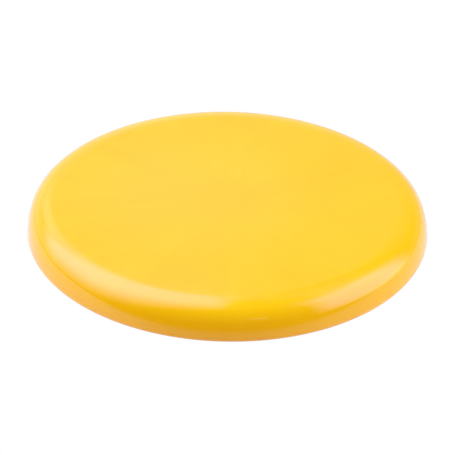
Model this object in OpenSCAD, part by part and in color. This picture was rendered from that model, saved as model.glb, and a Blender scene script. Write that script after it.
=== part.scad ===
// Flying disc: a one-piece moulded shell, closed on top and open underneath.
// Millimetres, +Z up. The origin lies under the disc's centre, on the surface that the lip rests on.
//
// The rim's cross-section is a chain of tangent arcs. The two ends of each arc are given by the
// elevation of the surface normal there: 0 degrees at the disc's widest circle, 90 at its centre.

/* [Disc] */
// Outer diameter, at the widest circle of the rim
disc_d = 230; // [180:1:270]
// Overall height, from the lip's rest land to the centre of the flight plate
disc_h = 21.5; // [20:0.5:26]
// Thickness of the moulded shell
shell_t = 1.8; // [1.2:0.1:2.4]

/* [Flight plate] */
// Slope of the crowned flight plate at its edge, in degrees
plate_slope = 1.7; // [0.5:0.1:2]

/* [Shoulder and wall] */
// Radius of the soft blend between the flight plate and the shoulder
blend_r = 46; // [36:1:56]
// Elevation of the normal where the blend ends and the shoulder starts
blend_end = 78; // [74:1:82]
// Radius of the shoulder
shoulder_r = 11.5; // [8:0.5:11.5]
// Elevation of the normal where the shoulder ends and the wall starts
shoulder_end = 20; // [18:1:24]

/* [Lip] */
// Radius of the lip's outer edge, below the widest circle
lip_r = 2.8; // [2:0.1:3.2]
// Radius of the lip's inner edge
lip_inner_r = 1; // [0.6:0.1:1.4]
// Width of the flat land that the disc rests on
land_w = 0.8; // [0.4:0.1:1.6]
// Height of the thickened bead's straight inner face
bead_h = 5; // [3.5:0.5:5]
// Height over which the bead tapers into the wall
taper_h = 2.5; // [1.5:0.5:2.5]

/* [Moulding marks] */
// Diameter of the gate well, the dimple in the underside where the plastic entered the mould
gate_well_d = 9; // [7:0.5:12]
// Depth of the gate well
gate_well_depth = 0.4; // [0.2:0.1:0.5]
// Diameter of the gate vestige, the stub left in the well
gate_d = 3.2; // [2:0.2:4]
// Height of the gate vestige below the roof of its well
gate_h = 0.9; // [0.5:0.1:1.2]
// Number of ejector pin marks in the underside
pin_count = 8; // [4:1:12]
// Diameter of an ejector pin mark
pin_d = 7; // [5:0.5:9]
// Depth of an ejector pin mark
pin_depth = 0.25; // [0.2:0.05:0.4]
// Radius of the circle of ejector pin marks, as a share of the disc's radius
pin_ring = 0.7; // [0.4:0.05:0.75]

/* [Hidden] */
$fn = 240;

// Facets across each stretch of the cross-section
crown_facets = 12;
blend_facets = 7;
shoulder_facets = 18;
wall_facets = 7;
lip_facets = 9;

disc_r = disc_d / 2;
plate_end = 90 - plate_slope;

// How far in and up the blend and the shoulder go together
turn_in = shoulder_r * (cos(shoulder_end) - cos(blend_end)) + blend_r * (cos(blend_end) - cos(plate_end));
turn_up = shoulder_r * (sin(blend_end) - sin(shoulder_end)) + blend_r * (sin(plate_end) - sin(blend_end));
// The crown's rise for each millimetre of its radius
crown_rise = tan(plate_slope / 2);
// The wall's radius takes up what is left of the disc's height
wall_r = (disc_h - lip_r - turn_up - (disc_r - turn_in) * crown_rise)
    / (sin(shoulder_end) - (1 - cos(shoulder_end)) * crown_rise);

// Each arc's centre lies on the normal where it meets the arc before it
wall_c = [disc_r - wall_r, lip_r];
shoulder_c = wall_c + (wall_r - shoulder_r) * unit(shoulder_end);
blend_c = shoulder_c + (shoulder_r - blend_r) * unit(blend_end);
plate_r = blend_c[0] + blend_r * cos(plate_end);
crown_r = plate_r / sin(plate_slope);
crown_c = [0, disc_h - crown_r];

// The wall's inner face ends where the bead's taper meets it
wall_foot = asin((bead_h + taper_h - lip_r) / (wall_r - shell_t));

// Centres of the lip's outer and inner edges, and the radius of the bead's inner face
lip_c = [disc_r - lip_r, lip_r];
inner_lip_c = [lip_c[0] - land_w, lip_inner_r];
bead_r = inner_lip_c[0] - lip_inner_r;

gate_roof = disc_h - shell_t + gate_well_depth;
pin_circle_r = pin_ring * disc_r;
// How far a cutter or a stub reaches past the surface that it starts from
overlap = 0.9;

function unit(angle) = [cos(angle), sin(angle)];

// Points along an arc, from the normal at one end to the normal at the other
function arc(centre, r, from, to, facets) =
    [for (i = [0 : facets]) centre + r * unit(from + (to - from) * i / facets)];

// The same list without its first point, for an arc that starts where the one before it ends
function after(points) = [for (i = [1 : len(points) - 1]) points[i]];

// The shell's outside from the widest circle to the centre, or its inside at a depth below that
function skin(depth, foot) = concat(
    arc(wall_c, wall_r - depth, foot, shoulder_end, wall_facets),
    after(arc(shoulder_c, shoulder_r - depth, shoulder_end, blend_end, shoulder_facets)),
    after(arc(blend_c, blend_r - depth, blend_end, plate_end, blend_facets)),
    after(arc(crown_c, crown_r - depth, plate_end, 90, crown_facets))
);

function backwards(points) = [for (i = [len(points) - 1 : -1 : 0]) points[i]];

// Height of the flight plate's underside at a distance from the centre
function underside(r) = crown_c[1] + sqrt(pow(crown_r - shell_t, 2) - r * r);

// Half of the disc's cross-section: the outside, the inside, the bead and the lip
module section() {
    polygon(concat(
        skin(0, 0),
        backwards(skin(shell_t, wall_foot)),
        [[bead_r, bead_h]],
        arc(inner_lip_c, lip_inner_r, 180, 270, lip_facets),
        arc(lip_c, lip_r, -90, -90 / lip_facets, lip_facets - 1)
    ));
}

// The dimple around the gate, cut upwards into the flight plate
module gate_well() {
    translate([0, 0, gate_roof - overlap]) cylinder(h = overlap, d = gate_well_d);
}

// The stub that stands down from the roof of the gate well
module gate_vestige() {
    translate([0, 0, gate_roof - gate_h]) cylinder(h = gate_h + overlap, d = gate_d);
}

// The ring of shallow round marks that the ejector pins leave
module pin_marks() {
    for (i = [0 : pin_count - 1])
        rotate([0, 0, 360 * i / pin_count])
            translate([pin_circle_r, 0, underside(pin_circle_r) + pin_depth - overlap])
                cylinder(h = overlap, d = pin_d);
}

module disc() {
    color([1.0, 0.8, 0.2]) {
        difference() {
            rotate_extrude() section();
            gate_well();
            pin_marks();
        }
        gate_vestige();
    }
}

disc();
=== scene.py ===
"""A glossy yellow flying disc, moulded in one piece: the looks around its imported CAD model.

Everything is in metres, +Z up, with the origin on the floor under the disc's centre. Directions
around the disc are an azimuth and an elevation in degrees: azimuth 0 is towards the camera, and
90 is to its right. In the disc's cross-section, a surface's normal points straight out at 0
degrees and straight up at 90.
"""

import math

import bmesh
import bpy
from mathutils import Matrix, Quaternion, Vector


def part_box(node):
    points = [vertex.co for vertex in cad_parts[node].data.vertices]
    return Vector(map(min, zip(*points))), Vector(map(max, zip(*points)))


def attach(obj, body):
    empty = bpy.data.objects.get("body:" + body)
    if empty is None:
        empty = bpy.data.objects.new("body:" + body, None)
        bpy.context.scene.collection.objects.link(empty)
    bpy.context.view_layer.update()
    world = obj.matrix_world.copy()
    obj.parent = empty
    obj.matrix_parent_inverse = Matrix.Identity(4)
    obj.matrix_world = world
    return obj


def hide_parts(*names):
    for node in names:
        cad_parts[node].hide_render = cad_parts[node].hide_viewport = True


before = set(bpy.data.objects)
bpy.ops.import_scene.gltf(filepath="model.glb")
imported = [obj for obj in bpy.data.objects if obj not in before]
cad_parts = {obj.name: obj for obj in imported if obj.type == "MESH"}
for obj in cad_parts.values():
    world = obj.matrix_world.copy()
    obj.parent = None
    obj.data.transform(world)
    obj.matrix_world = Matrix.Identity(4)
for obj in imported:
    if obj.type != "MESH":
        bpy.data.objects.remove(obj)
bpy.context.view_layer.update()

MM = 0.001

# ---------------------------------------------------------------- the disc's measures
LOW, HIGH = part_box("disc")
RADIUS = (HIGH.x - LOW.x) / 2
HEIGHT = HIGH.z - LOW.z
SHELL = 1.8 * MM

# The arcs over the rim: their radii, and the normal's angle where each one ends
PLATE_SLOPE = 1.7
SHOULDER_R = 11.5 * MM
SHOULDER_END = 20
BLEND_R = 46 * MM
BLEND_END = 78
PLATE_END = 90 - PLATE_SLOPE

# The lip, and the bead that thickens the wall above it
LIP_R = 2.8 * MM
LIP_INNER_R = 1 * MM
LAND_W = 0.8 * MM
BEAD_H = 5 * MM
TAPER_H = 2.5 * MM

# The flash line that the two mould halves leave round the widest circle. Its corners are shares
# of its width, up the wall, and of its height, out of the wall, which goes on from FLASH_END.
FLASH_H = 0.07 * MM
FLASH_W = 0.3 * MM
FLASH_CORNERS = ((-0.5, 0), (-0.2, 1), (0.2, 1), (0.5, 0))
FLASH_END = 1.5

# The gate in the middle of the underside: a well, with the broken-off stub and its nub in it, and
# about how far their corners are broken
GATE_WELL_R = 4.5 * MM
GATE_WELL_DEPTH = 0.4 * MM
GATE_R = 1.6 * MM
GATE_H = 0.9 * MM
GATE_NUB_R = 0.55 * MM
GATE_NUB_H = 0.25 * MM
GATE_EDGE = 0.1 * MM

# Rings in the underside, where two parts of the mould's core meet. The plate's own points keep
# clear of them.
INSERT_RING_R = 31 * MM
CORE_RING_R = 91 * MM
RING_HALF_W = 0.35 * MM
RING_DEPTH = 0.1 * MM
RING_CLEARANCE = 1 * MM

# Round marks of the ejector pins
PIN_COUNT = 8
PIN_R = 3.5 * MM
PIN_DEPTH = 0.25 * MM
PIN_CIRCLE_R = 0.7 * RADIUS
PIN_CUTTER_H = 1 * MM
PIN_SEGMENTS = 64

# The turned mesh: its segments, what counts as on the axis, and the bend that stays a sharp edge
SEGMENTS = 288
ON_AXIS = 1e-9
SHARP_ANGLE = 32


# ---------------------------------------------------------------- cross-section
def unit(angle):
    """A step of length 1 in the cross-section, from the axis outwards at 0 and straight up at 90."""
    return Vector((math.cos(math.radians(angle)), math.sin(math.radians(angle))))


def arc(centre, radius, start, end, steps):
    """Points along an arc, whose normal turns from start to end."""
    return [centre + radius * unit(start + (end - start) * i / steps) for i in range(steps + 1)]


def rim_arcs():
    """Centre and radius of the wall, shoulder, blend and crown: a chain of tangent arcs."""
    shoulder_step = SHOULDER_R * (unit(BLEND_END) - unit(SHOULDER_END))
    blend_step = BLEND_R * (unit(PLATE_END) - unit(BLEND_END))
    upper_step = shoulder_step + blend_step
    # The crown rises by this share of its edge's radius. The wall's arc makes up the height that is
    # left, and by turning in it also shrinks the crown.
    rise = math.tan(math.radians(PLATE_SLOPE / 2))
    height_left = HEIGHT - LIP_R - upper_step.y - (RADIUS + upper_step.x) * rise
    wall_end = unit(SHOULDER_END)
    wall_r = height_left / (wall_end.y - (1 - wall_end.x) * rise)
    wall_c = Vector((RADIUS - wall_r, LIP_R))
    shoulder_c = wall_c + (wall_r - SHOULDER_R) * wall_end
    blend_c = shoulder_c + (SHOULDER_R - BLEND_R) * unit(BLEND_END)
    plate_r = blend_c.x + BLEND_R * unit(PLATE_END).x
    crown_r = plate_r / unit(PLATE_SLOPE).y
    return {
        "wall": (wall_c, wall_r),
        "shoulder": (shoulder_c, SHOULDER_R),
        "blend": (blend_c, BLEND_R),
        "crown": (Vector((0, HEIGHT - crown_r)), crown_r),
    }


ARCS = rim_arcs()


def outside():
    """The glossy outside, from the lip's land up and over to the axis."""
    points = arc(Vector((RADIUS - LIP_R, LIP_R)), LIP_R, -90, 0, steps=12)[:-1]
    for up, out in FLASH_CORNERS:
        points.append(Vector((RADIUS + FLASH_H * out, LIP_R + FLASH_W * up)))
    points += arc(*ARCS["wall"], FLASH_END, SHOULDER_END, steps=12)
    points += arc(*ARCS["shoulder"], SHOULDER_END, BLEND_END, steps=30)[1:]
    points += arc(*ARCS["blend"], BLEND_END, PLATE_END, steps=12)[1:]
    points += arc(*ARCS["crown"], PLATE_END, 90, steps=26)[1:]
    return points


def underside_z(radius):
    """Height of the flight plate's underside at a distance from the axis."""
    centre, crown_r = ARCS["crown"]
    return centre.y + math.sqrt((crown_r - SHELL) ** 2 - radius**2)


def underside(start, end, steps):
    """Points along the flight plate's underside, between two distances from the axis."""
    radii = [start + (end - start) * i / steps for i in range(steps + 1)]
    return [Vector((radius, underside_z(radius))) for radius in radii]


def groove(radius):
    """A shallow V-shaped ring in the underside, from its inner edge to its outer edge."""
    return [
        Vector((radius - RING_HALF_W, underside_z(radius - RING_HALF_W))),
        Vector((radius, underside_z(radius) + RING_DEPTH)),
        Vector((radius + RING_HALF_W, underside_z(radius + RING_HALF_W))),
    ]


def gate():
    """The gate's nub, stub and well, from the axis to the well's edge, with broken corners."""
    roof = HEIGHT - SHELL + GATE_WELL_DEPTH
    tip = roof - GATE_H
    return [
        Vector((0, tip - 0.8 * GATE_NUB_H)),
        Vector((GATE_NUB_R, tip - GATE_NUB_H)),
        Vector((GATE_NUB_R + GATE_EDGE, tip + 0.5 * GATE_EDGE)),
        Vector((GATE_R - 1.5 * GATE_EDGE, tip)),
        Vector((GATE_R - 0.5 * GATE_EDGE, tip + GATE_EDGE)),
        Vector((GATE_R + 0.4 * GATE_EDGE, roof - GATE_EDGE)),
        Vector((GATE_R + 2.5 * GATE_EDGE, roof)),
        Vector((GATE_WELL_R - 2.5 * GATE_EDGE, roof)),
        Vector((GATE_WELL_R - 0.5 * GATE_EDGE, roof - GATE_EDGE)),
        Vector((GATE_WELL_R, underside_z(GATE_WELL_R))),
    ]


def bead(start, end_r, steps):
    """The bead's top, which grows inwards out of the wall in an S-curve."""
    points = []
    for i in range(1, steps + 1):
        down = i / steps
        ease = down * down * (3 - 2 * down)
        points.append(Vector((start.x + (end_r - start.x) * ease, start.y - TAPER_H * down)))
    return points


def inside():
    """The satin inside, from the axis out along the underside and down to the lip's land."""
    lip_c = Vector((RADIUS - LIP_R - LAND_W, LIP_INNER_R))
    bead_r = lip_c.x - LIP_INNER_R
    bead_top = math.degrees(math.asin((BEAD_H + TAPER_H - LIP_R) / (ARCS["wall"][1] - SHELL)))
    plate_edge = (ARCS["crown"][1] - SHELL) * unit(PLATE_END).x
    points = gate()
    points += underside(GATE_WELL_R + RING_CLEARANCE, INSERT_RING_R - RING_CLEARANCE, steps=8)
    points += groove(INSERT_RING_R)
    points += underside(INSERT_RING_R + RING_CLEARANCE, CORE_RING_R - RING_CLEARANCE, steps=20)
    points += groove(CORE_RING_R)
    points += underside(CORE_RING_R + RING_CLEARANCE, plate_edge, steps=3)
    for name, start, end, steps in (
        ("blend", PLATE_END, BLEND_END, 10),
        ("shoulder", BLEND_END, SHOULDER_END, 24),
        ("wall", SHOULDER_END, bead_top, 8),
    ):
        centre, radius = ARCS[name]
        points += arc(centre, radius - SHELL, start, end, steps)[1:]
    points += bead(points[-1], bead_r, steps=10)
    points.append(Vector((bead_r, (BEAD_H + LIP_INNER_R) / 2)))
    points += arc(lip_c, LIP_INNER_R, 180, 270, steps=8)
    return points


# ---------------------------------------------------------------- meshes
def new_object(name, bm):
    """Puts a bmesh into the scene as an object."""
    mesh = bpy.data.meshes.new(name)
    bm.to_mesh(mesh)
    bm.free()
    obj = bpy.data.objects.new(name, mesh)
    bpy.context.scene.collection.objects.link(obj)
    return obj


def lathe(bm, rings, first_inside):
    """Turns a closed cross-section about the axis.

    The faces from the ring numbered first_inside on get the second material.
    """
    turned = []
    for radius, z in rings:
        if radius < ON_AXIS:
            turned.append([bm.verts.new((0, 0, z))])
            continue
        angles = [2 * math.pi * k / SEGMENTS for k in range(SEGMENTS)]
        turned.append([bm.verts.new((radius * math.cos(a), radius * math.sin(a), z)) for a in angles])
    for i, ring in enumerate(turned):
        following = turned[(i + 1) % len(turned)]
        if len(ring) == len(following) == 1:
            continue
        for k in range(SEGMENTS):
            after = (k + 1) % SEGMENTS
            corners = [ring[k % len(ring)], ring[after % len(ring)]]
            corners += [following[after % len(following)], following[k % len(following)]]
            face = bm.faces.new(list(dict.fromkeys(corners)))
            face.material_index = int(i >= first_inside)
    bmesh.ops.recalc_face_normals(bm, faces=bm.faces)


def pin_cutters():
    """Short upright cylinders where the ejector pins touched the underside."""
    bm = bmesh.new()
    middle = underside_z(PIN_CIRCLE_R) + PIN_DEPTH - PIN_CUTTER_H / 2
    for i in range(PIN_COUNT):
        place = Matrix.Rotation(2 * math.pi * i / PIN_COUNT, 4, "Z")
        place @= Matrix.Translation((PIN_CIRCLE_R, 0, middle))
        bmesh.ops.create_cone(
            bm,
            cap_ends=True,
            segments=PIN_SEGMENTS,
            radius1=PIN_R,
            radius2=PIN_R,
            depth=PIN_CUTTER_H,
            matrix=place,
        )
    return new_object("pin_cutters", bm)


def disc_shell(gloss, satin, pins):
    """The moulded shell: a turned cross-section with the ejector pins' marks cut into it."""
    over = outside()
    bm = bmesh.new()
    lathe(bm, over + inside(), first_inside=len(over))
    shell = new_object("disc_shell", bm)
    shell.data.materials.append(gloss)
    shell.data.materials.append(satin)
    cutters = pin_cutters()
    cutters.data.materials.append(pins)
    cut = shell.modifiers.new("pins", "BOOLEAN")
    cut.operation = "DIFFERENCE"
    cut.solver = "EXACT"
    cut.material_mode = "TRANSFER"
    cut.object = cutters
    depsgraph = bpy.context.evaluated_depsgraph_get()
    mesh = bpy.data.meshes.new_from_object(shell.evaluated_get(depsgraph))
    shell.modifiers.clear()
    shell.data = mesh
    bpy.data.objects.remove(cutters)
    mesh.shade_smooth()
    mesh.set_sharp_from_angle(angle=math.radians(SHARP_ANGLE))
    return shell


# ---------------------------------------------------------------- nodes
WHITE = (1, 1, 1, 1)


class Nodes:
    """A material's or world's node tree, with short ways to add nodes and join them."""

    def __init__(self, owner):
        owner.use_nodes = True
        self.tree = owner.node_tree
        self.tree.nodes.clear()

    def add(self, kind, settings=None, **inputs):
        """A new node. settings are its properties, and inputs what its sockets get."""
        node = self.tree.nodes.new("ShaderNode" + kind)
        for name, value in (settings or {}).items():
            setattr(node, name, value)
        for name, value in inputs.items():
            self.set(node.inputs[name.replace("_", " ")], value)
        return node

    def set(self, socket, value):
        """Joins another node's output to a socket, or gives it a constant."""
        if isinstance(value, bpy.types.NodeSocket):
            self.tree.links.new(value, socket)
        else:
            socket.default_value = value

    def math(self, operation, *values):
        """The result of a Math node."""
        node = self.add("Math", {"operation": operation})
        for socket, value in zip(node.inputs, values):
            self.set(socket, value)
        return node.outputs[0]

    def smooth(self, value, span, results=(0.0, 1.0)):
        """A soft step from the first of results to the second, as value goes over span."""
        node = self.add("MapRange", {"interpolation_type": "SMOOTHSTEP"})
        for socket, number in zip(node.inputs[:5], (value, *span, *results)):
            self.set(socket, number)
        return node.outputs[0]

    def noise(self, place, grain, detail=2.0):
        """Noise with grains about as wide as grain, from 0 to 1 about 0.5."""
        return self.add("TexNoise", Vector=place, Scale=1 / grain, Detail=detail).outputs[0]

    def bump(self, height, distance, under=None):
        """A bump of height times distance, in metres, on top of another bump."""
        node = self.add("Bump", Strength=1.0, Distance=distance, Height=height)
        if under is not None:
            self.set(node.inputs["Normal"], under)
        return node.outputs[0]

    def mix_number(self, factor, first, second):
        """The first number at factor 0, the second at 1."""
        return self.add("Mix", Factor=factor, A=first, B=second).outputs[0]

    def mix_colour(self, factor, first, second):
        """The first colour at factor 0, the second at 1."""
        node = self.add("Mix", {"data_type": "RGBA"}, Factor=factor)
        for socket, colour in zip(node.inputs[6:8], (first, second)):
            self.set(socket, colour)
        return node.outputs[2]

    def mix_shader(self, factor, first, second):
        """A node with the first node's shader at factor 0, and the second node's at 1."""
        node = self.add("MixShader", Fac=factor)
        for socket, shader in zip(node.inputs[1:3], (first, second)):
            self.set(socket, shader.outputs[0])
        return node


# ---------------------------------------------------------------- plastic
PALE_PLASTIC = (0.98, 0.475, 0.005, 1)
DEEP_PLASTIC = (0.95, 0.445, 0.0035, 1)
SCRATCHED_PLASTIC = (1.0, 0.62, 0.03, 1)
PLASTIC_IOR = 1.5

# Each mark is made from noise: its grain is how wide the noise's grains are, and where the noise
# goes over the first number of its span it starts to show, until it is whole at the second.
CLOUD_SPAN = (0.3, 0.7)

# The pigment's streaks fan out from the gate and its clouds lie anywhere. A streak's grain is
# across, as a share of its distance from the axis, and its drift is how fast it changes along it.
STREAK_GRAIN = 0.11
STREAK_DRIFT = 2.5
STREAK_START = (5 * MM, 30 * MM)
STREAK_SHARE = 0.4
PIGMENT_GRAIN = 45 * MM

# Waves and a fine peel that the polished mould leaves in the gloss
WAVE_GRAIN = 45 * MM
WAVE_HEIGHT = 0.06 * MM
PEEL_GRAIN = 5 * MM
PEEL_HEIGHT = 0.004 * MM

# Handling: smudges, hairline scratches in a few directions, and a rubbed band above the lip
SMUDGE_GRAIN = 24 * MM
SMUDGE_SPAN = (0.35, 0.75)
SMUDGE_ROUGHNESS = (0.045, 0.085)
SCRATCH_TURNS = (24, -51, 80)
SCRATCH_GRAIN = 0.35 * MM
SCRATCH_STRETCH = (1, 0.012, 1)
SCRATCH_SPAN = (0.66, 0.7)
SCRATCH_PATCH_GRAIN = 30 * MM
SCRATCH_PATCH_SPAN = (0.5, 0.62)
SCRATCH_HEIGHT = -0.004 * MM
SCRATCH_ROUGHNESS = 0.08
SCRATCH_PALENESS = 0.12
RUBBED_GRAIN = 1.5 * MM
RUBBED_SPAN = (0.45, 0.7)
RUBBED_BAND = (7 * MM, 3 * MM)
RUBBED_ROUGHNESS = 0.05

# The core's turning marks, which come and go, and its blasted grain
TURNING_GRAIN = 0.7 * MM
TURNING_HEIGHT = 0.055 * MM
TURNING_PATCH_GRAIN = 18 * MM
TURNING_PATCHES = (0.3, 1.0)
BLAST_GRAIN = 0.5 * MM
BLAST_HEIGHT = 0.05 * MM

# The satin's roughness: its clouds, and what flow streaks and the blush round the gate add
SATIN_GRAIN = 12 * MM
SATIN_ROUGHNESS = (0.3, 0.38)
FLOW_GRAIN = 0.16
FLOW_SPAN = (0.35, 0.7)
FLOW_ROUGHNESS = (0.0, 0.07)
BLUSH_EDGE = (16 * MM, 6 * MM)
BLUSH_ROUGHNESS = (0.0, 0.1)

# How polished the ejector pins' ends are, and how much of the roughness full polish takes away
PIN_POLISH = 0.6
POLISH_SHARE = 0.5


def polar(nodes, place):
    """Distance from the axis, and a point that depends nearly only on the bearing from it."""
    x, y = nodes.add("SeparateXYZ", Vector=place).outputs[:2]
    radius = nodes.math("SQRT", nodes.math("MULTIPLY_ADD", x, x, nodes.math("MULTIPLY", y, y)))
    # Near the axis a bearing would jump, so the distance that divides it is never under 1 mm
    divisor = nodes.math("MAXIMUM", radius, MM)
    bearing = nodes.add(
        "CombineXYZ",
        X=nodes.math("DIVIDE", x, divisor),
        Y=nodes.math("DIVIDE", y, divisor),
        Z=nodes.math("MULTIPLY", radius, STREAK_DRIFT),
    )
    return radius, bearing.outputs[0]


def plastic_colour(nodes, place):
    """The pigment: faint streaks that flowed out from the gate, over faint clouds."""
    radius, bearing = polar(nodes, place)
    away_from_gate = nodes.smooth(radius, STREAK_START)
    streaks = nodes.math("MULTIPLY", nodes.noise(bearing, STREAK_GRAIN, 3.0), away_from_gate)
    streaks = nodes.math("MULTIPLY", streaks, STREAK_SHARE)
    clouds = nodes.noise(place, PIGMENT_GRAIN)
    mixed = nodes.math("MULTIPLY_ADD", clouds, 1 - STREAK_SHARE, streaks)
    return nodes.mix_colour(nodes.smooth(mixed, CLOUD_SPAN), DEEP_PLASTIC, PALE_PLASTIC)


def hairlines(nodes, place, turn):
    """Patches of straight scratches, all at one turn about the axis: 1 on them."""
    rotation = (0, 0, math.radians(turn))
    turned = nodes.add("Mapping", Vector=place, Rotation=rotation, Scale=SCRATCH_STRETCH).outputs[0]
    lines = nodes.smooth(nodes.noise(turned, SCRATCH_GRAIN, 1.0), SCRATCH_SPAN)
    patches = nodes.smooth(nodes.noise(place, SCRATCH_PATCH_GRAIN, 1.0), SCRATCH_PATCH_SPAN)
    return nodes.math("MULTIPLY", lines, patches)


def gloss_plastic():
    """The polished outside: near a mirror, with the mould's faint waviness and fine handling marks."""
    material = bpy.data.materials.new("disc_gloss")
    nodes = Nodes(material)
    place = nodes.add("TexCoord").outputs["Object"]
    height = nodes.add("SeparateXYZ", Vector=place).outputs[2]
    scratches = 0.0
    for turn in SCRATCH_TURNS:
        scratches = nodes.math("MAXIMUM", scratches, hairlines(nodes, place, turn))
    rubbed = nodes.smooth(nodes.noise(place, RUBBED_GRAIN), RUBBED_SPAN)
    rubbed = nodes.math("MULTIPLY", nodes.smooth(height, RUBBED_BAND), rubbed)
    roughness = nodes.smooth(nodes.noise(place, SMUDGE_GRAIN, 3.0), SMUDGE_SPAN, SMUDGE_ROUGHNESS)
    roughness = nodes.math("MULTIPLY_ADD", rubbed, RUBBED_ROUGHNESS, roughness)
    roughness = nodes.math("MULTIPLY_ADD", scratches, SCRATCH_ROUGHNESS, roughness)
    relief = nodes.bump(nodes.noise(place, WAVE_GRAIN, 1.0), WAVE_HEIGHT)
    relief = nodes.bump(nodes.noise(place, PEEL_GRAIN, 1.0), PEEL_HEIGHT, relief)
    relief = nodes.bump(scratches, SCRATCH_HEIGHT, relief)
    paleness = nodes.math("MULTIPLY", scratches, SCRATCH_PALENESS)
    colour = nodes.mix_colour(paleness, plastic_colour(nodes, place), SCRATCHED_PLASTIC)
    shader = nodes.add(
        "BsdfPrincipled", Base_Color=colour, Roughness=roughness, IOR=PLASTIC_IOR, Normal=relief
    )
    nodes.add("OutputMaterial", Surface=shader.outputs[0])
    return material


def satin_plastic(name, polish=0.0):
    """The inside, off a turned and blasted mould core. polish, up to 1, smooths it."""
    material = bpy.data.materials.new(name)
    nodes = Nodes(material)
    place = nodes.add("TexCoord").outputs["Object"]
    radius, bearing = polar(nodes, place)
    height = nodes.add("SeparateXYZ", Vector=place).outputs[2]
    # The turning tool moved outwards over the plate and down over the wall
    along = nodes.math("SUBTRACT", radius, height)
    turning = nodes.add(
        "TexNoise", {"noise_dimensions": "1D"}, W=along, Scale=1 / TURNING_GRAIN, Detail=3.0
    ).outputs[0]
    patches = nodes.smooth(nodes.noise(place, TURNING_PATCH_GRAIN), CLOUD_SPAN, TURNING_PATCHES)
    relief = nodes.bump(nodes.math("MULTIPLY", turning, patches), TURNING_HEIGHT * (1 - polish))
    relief = nodes.bump(nodes.noise(place, BLAST_GRAIN), BLAST_HEIGHT * (1 - polish), relief)
    flow = nodes.smooth(nodes.noise(bearing, FLOW_GRAIN, 3.0), FLOW_SPAN, FLOW_ROUGHNESS)
    blush = nodes.smooth(radius, BLUSH_EDGE, BLUSH_ROUGHNESS)
    roughness = nodes.smooth(nodes.noise(place, SATIN_GRAIN), CLOUD_SPAN, SATIN_ROUGHNESS)
    roughness = nodes.math("ADD", roughness, nodes.math("ADD", flow, blush))
    roughness = nodes.math("MULTIPLY", roughness, 1 - POLISH_SHARE * polish)
    colour = plastic_colour(nodes, place)
    shader = nodes.add(
        "BsdfPrincipled", Base_Color=colour, Roughness=roughness, IOR=PLASTIC_IOR, Normal=relief
    )
    nodes.add("OutputMaterial", Surface=shader.outputs[0])
    return material


# ---------------------------------------------------------------- studio
LAMP_DISTANCE = 3.0
LAMP_COLOUR = (0.76, 1.0, 1.0)
DOME_GLOW = 0.27
SHINE_COLOUR = (1.0, 0.5, 1.0, 1)
BACKDROP_COLOUR = (0.85, 0.92, 1.0, 1)
BOUNCE_COLOUR = (1.0, 0.81, 0.81, 1)
FLOOR_SHINE_COLOUR = (0.62, 0.74, 1.0, 1)
FLOOR_R = 6.0
FLOOR_SEGMENTS = 96

# Soft edges, as window() takes them: azimuth, elevation, and the cosines where they are dark and lit
PINK_EDGES = [(0, 90, 0.05, 0.33)]
SPOT_EDGES = [(181.3, 31.5, 0.9975, 1.0)]
STRIP_EDGES = [
    (-71.5, 0, -0.11, -0.055),
    (108.5, 0, -0.11, -0.055),
    (0, 90, 0.33, 0.53),
    (0, -90, -0.615, -0.575),
]

# The backdrop's glow, in soft steps over the x (right), y (back) or z (up) of a direction. But for
# the seam and the strip, these and SPOT_EDGES are rounded results of a least-squares fit to the photo.
BACKDROP_STEP = (0.5, 0.1)
BACKDROP_GLOW = (0.15, 0.4)
LEFT_STEP = (0.25, -0.19)
LEFT_GLOW = (0.0, 0.43)
HORIZON_RISE = (0.46, -0.1)
HORIZON_STEP = (0.5, -0.5)
HORIZON_GLOW = (0.84, 1.48)
BACK_STEP = (0.0, 0.95)
TOP_STEP = (0.7, 0.56)
SEAM_Z = 0.05
SEAM_STEP = (0.04, 0.12)
SEAM_DIMMING = (0.5, 1.0)
SPOT_GLOW = 0.27
STRIP_GLOW = 0.8

# The floor's glow: in the gloss by y and x, and for diffuse light by the distance from the axis
# In the gloss the glow is dark in front of the disc, a painted shadow, and brighter to the left,
# painted light
FLOOR_FRONT_SHADOW_STEP = (-0.165, -0.095)
FLOOR_SIDE_STEP = (-0.1, 0.1)
FLOOR_SIDE_GLOW = (1.4, 1.1)
# For diffuse light the glow dims under the disc's rim: a painted shadow of the disc
FLOOR_SHADE_STEP = (0.9 * RADIUS, 1.05 * RADIUS)
FLOOR_SHADE_GLOW = (0.3, 1.0)


def direction(azimuth, elevation):
    """The unit step from the disc towards an azimuth and an elevation."""
    turn = math.radians(azimuth)
    rise = math.radians(elevation)
    level = math.cos(rise)
    return Vector((math.sin(turn) * level, -math.cos(turn) * level, math.sin(rise)))


def hang(obj, azimuth, elevation):
    """Puts a panel or lamp in a direction from the disc, and turns its back to that direction."""
    towards = direction(azimuth, elevation)
    obj.location = towards * LAMP_DISTANCE
    obj.rotation_mode = "QUATERNION"
    obj.rotation_quaternion = towards.to_track_quat("Z", "Y")


def window(nodes, spot, edges):
    """How far a point is inside soft edges, from 0 to 1, as seen from the disc.

    An edge is the azimuth and elevation square to it, and the two cosines from that direction
    between which it goes from dark to lit.
    """
    towards = nodes.add("VectorMath", {"operation": "NORMALIZE"}, Vector=spot).outputs[0]
    inside_all = 1.0
    for azimuth, elevation, dark, lit in edges:
        across = nodes.add("VectorMath", {"operation": "DOT_PRODUCT"})
        nodes.set(across.inputs[0], towards)
        nodes.set(across.inputs[1], direction(azimuth, elevation))
        inside_one = nodes.smooth(across.outputs["Value"], (dark, lit))
        inside_all = nodes.math("MULTIPLY", inside_all, inside_one)
    return inside_all


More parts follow.
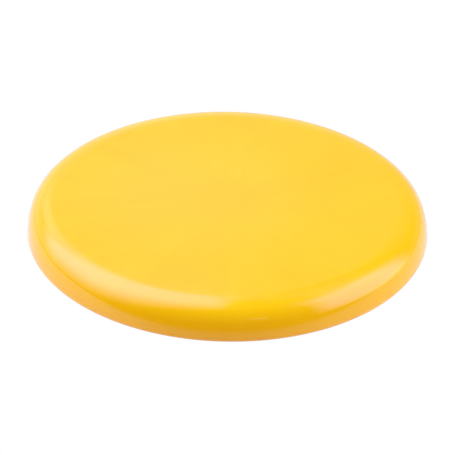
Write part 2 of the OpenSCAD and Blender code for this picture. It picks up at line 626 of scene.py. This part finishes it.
def softbox(name, azimuth, elevation, shine, edges):
    """A glowing panel that only the disc's gloss sees, white low down and pink above."""
    bm = bmesh.new()
    bmesh.ops.create_grid(bm, x_segments=1, y_segments=1, size=2 * LAMP_DISTANCE)
    card = new_object(name, bm)
    hang(card, azimuth, elevation)
    material = bpy.data.materials.new(name)
    nodes = Nodes(material)
    spot = nodes.add("NewGeometry").outputs["Position"]
    glow = window(nodes, spot, edges)
    colour = nodes.mix_colour(window(nodes, spot, PINK_EDGES), WHITE, SHINE_COLOUR)
    lit = nodes.add("Emission", Color=colour, Strength=shine)
    panel = nodes.mix_shader(glow, nodes.add("BsdfTransparent"), lit)
    nodes.add("OutputMaterial", Surface=panel.outputs[0])
    card.data.materials.append(material)
    card.visible_camera = False
    card.visible_diffuse = False
    card.visible_shadow = False


def fill_lamp(name, azimuth, elevation, half_size, brightness, in_gloss=False):
    """A round lamp: a coloured one for diffuse light only, or a white one that the gloss shows too.

    half_size is its radius for each metre of its distance, and brightness is its radiance.
    """
    lamp = bpy.data.lights.new(name, "AREA")
    lamp.shape = "DISK"
    lamp.color = WHITE[:3] if in_gloss else LAMP_COLOUR
    lamp.size = 2 * half_size * LAMP_DISTANCE
    area = math.pi * lamp.size**2 / 4
    lamp.energy = brightness * math.pi * area
    obj = bpy.data.objects.new(name, lamp)
    bpy.context.scene.collection.objects.link(obj)
    hang(obj, azimuth, elevation)
    obj.visible_camera = False
    obj.visible_glossy = in_gloss


def backdrop_glow(nodes, sky):
    """How bright the backdrop is in the disc's gloss, in each direction of the sky."""
    x, y, z = nodes.add("SeparateXYZ", Vector=sky).outputs
    horizon = nodes.smooth(x, HORIZON_STEP, HORIZON_GLOW)
    horizon = nodes.math("MULTIPLY", nodes.smooth(z, HORIZON_RISE), horizon)
    left = nodes.smooth(x, LEFT_STEP, LEFT_GLOW)
    glow = nodes.math("ADD", nodes.smooth(x, BACKDROP_STEP, BACKDROP_GLOW), left)
    glow = nodes.math("ADD", glow, horizon)
    glow = nodes.math("MULTIPLY", glow, nodes.smooth(y, BACK_STEP))
    glow = nodes.math("MULTIPLY", glow, nodes.smooth(z, TOP_STEP))
    # The seam where the backdrop meets the floor is dimmer, and draws the crown's edge in low views
    from_seam = nodes.math("ABSOLUTE", nodes.math("SUBTRACT", z, SEAM_Z))
    glow = nodes.math("MULTIPLY", glow, nodes.smooth(from_seam, SEAM_STEP, SEAM_DIMMING))
    glow = nodes.math("MULTIPLY_ADD", window(nodes, sky, SPOT_EDGES), SPOT_GLOW, glow)
    return nodes.math("MULTIPLY_ADD", window(nodes, sky, STRIP_EDGES), STRIP_GLOW, glow)


def studio_world():
    """White to the camera, an even dome for diffuse light, and a lit backdrop in the disc's gloss."""
    world = bpy.data.worlds.new("studio")
    bpy.context.scene.world = world
    nodes = Nodes(world)
    sky = nodes.add("TexCoord").outputs["Generated"]
    path = nodes.add("LightPath").outputs
    dome = nodes.add("Background", Color=WHITE, Strength=DOME_GLOW)
    backdrop = nodes.add("Background", Color=BACKDROP_COLOUR, Strength=backdrop_glow(nodes, sky))
    seen = nodes.add("Background", Color=WHITE, Strength=1.0)
    unseen = nodes.mix_shader(path["Is Glossy Ray"], dome, backdrop)
    surface = nodes.mix_shader(path["Is Camera Ray"], unseen, seen)
    nodes.add("OutputWorld", Surface=surface.outputs[0])
    # Rays that aim at the world count as neither kind, so none are sent
    world.cycles.sampling_method = "NONE"


def floor():
    """A plain white floor whose top glows, with painted shadows of the disc and painted light in that
    glow. A camera below sees through it, and it shades no lamp.
    """
    bm = bmesh.new()
    bmesh.ops.create_circle(bm, cap_ends=True, segments=FLOOR_SEGMENTS, radius=FLOOR_R)
    obj = new_object("floor", bm)
    material = bpy.data.materials.new("floor")
    nodes = Nodes(material)
    geometry = nodes.add("NewGeometry").outputs
    spot = geometry["Position"]
    path = nodes.add("LightPath").outputs
    x, y = nodes.add("SeparateXYZ", Vector=spot).outputs[:2]
    # In the gloss: a painted shadow in front of the disc, and painted light that is brighter to the
    # left
    side = nodes.smooth(x, FLOOR_SIDE_STEP, FLOOR_SIDE_GLOW)
    in_gloss = nodes.math("MULTIPLY", nodes.smooth(y, FLOOR_FRONT_SHADOW_STEP), side)
    from_axis = nodes.add("VectorMath", {"operation": "LENGTH"}, Vector=spot).outputs["Value"]
    # For diffuse light: a painted shadow of the disc, which dims the glow under its rim
    bounce_with_painted_shadow = nodes.smooth(from_axis, FLOOR_SHADE_STEP, FLOOR_SHADE_GLOW)
    strength = nodes.mix_number(path["Is Glossy Ray"], bounce_with_painted_shadow, in_gloss)
    colour = nodes.mix_colour(path["Is Glossy Ray"], BOUNCE_COLOUR, FLOOR_SHINE_COLOUR)
    seen = nodes.add("Emission", Strength=1.0)
    unseen = nodes.add("Emission", Color=colour, Strength=strength)
    top = nodes.mix_shader(path["Is Camera Ray"], unseen, seen)
    surface = nodes.mix_shader(geometry["Backfacing"], top, nodes.add("BsdfTransparent"))
    nodes.add("OutputMaterial", Surface=surface.outputs[0])
    # As for the world, rays that aim at the floor count as neither kind
    material.cycles.emission_sampling = "NONE"
    obj.data.materials.append(material)
    obj.visible_shadow = False


def camera():
    """A long lens above the disc's front, level but for a slight roll."""
    elevation = 31.75
    distance = 16 * RADIUS
    width_in_frame = 0.879
    aim_below_centre = 6.5 * MM
    aim_right_of_centre = 0.1 * MM
    roll = 1.1
    data = bpy.data.cameras.new("camera")
    data.sensor_width = 36
    data.lens = data.sensor_width * width_in_frame * distance / (2 * RADIUS)
    data.clip_start = 0.05
    data.clip_end = 50
    obj = bpy.data.objects.new("camera", data)
    bpy.context.scene.collection.objects.link(obj)
    up = direction(180, 90 - elevation)
    centre = Vector((0, 0, HEIGHT / 2))
    aim = centre - up * aim_below_centre + Vector((aim_right_of_centre, 0, 0))
    obj.location = centre + direction(0, elevation) * distance
    look = (obj.location - aim).to_track_quat("Z", "Y")
    obj.rotation_mode = "QUATERNION"
    obj.rotation_quaternion = look @ Quaternion((0, 0, 1), math.radians(roll))
    bpy.context.scene.camera = obj


# ---------------------------------------------------------------- the scene
camera()
shell = disc_shell(
    gloss=gloss_plastic(),
    satin=satin_plastic("disc_satin"),
    pins=satin_plastic("disc_pin_marks", polish=PIN_POLISH),
)
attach(shell, "root")
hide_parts("disc")
floor()
studio_world()
# Both softboxes' shine and edges are rounded results of a least-squares fit to the photo
softbox(
    "softbox_left",
    azimuth=-120,
    elevation=50,
    shine=7.2,
    edges=[
        (2, 31, -0.42, -0.21),
        (-129, 28, 0.32, 1.08),
        (38, 81, -0.25, 0.94),
        (-89, -2.6, -0.07, -0.02),
    ],
)
softbox(
    "softbox_right",
    azimuth=93,
    elevation=35,
    shine=4.6,
    edges=[
        (133, -8, 0, 0.27),
        (-21, -5, -0.82, -0.58),
        (112, 66, 0.13, 0.7),
        (67, -65, -0.83, -0.57),
    ],
)
fill_lamp("fill_left", azimuth=-89, elevation=37.5, half_size=0.6, brightness=3.18)
fill_lamp("fill_right", azimuth=87, elevation=26.5, half_size=0.6, brightness=3.08)
fill_lamp("fill_top", azimuth=180, elevation=75, half_size=0.3, brightness=3.8)
fill_lamp("fill_under", azimuth=150, elevation=-38, half_size=0.35, brightness=7.0, in_gloss=True)
bpy.context.scene.view_settings.view_transform = "Standard"
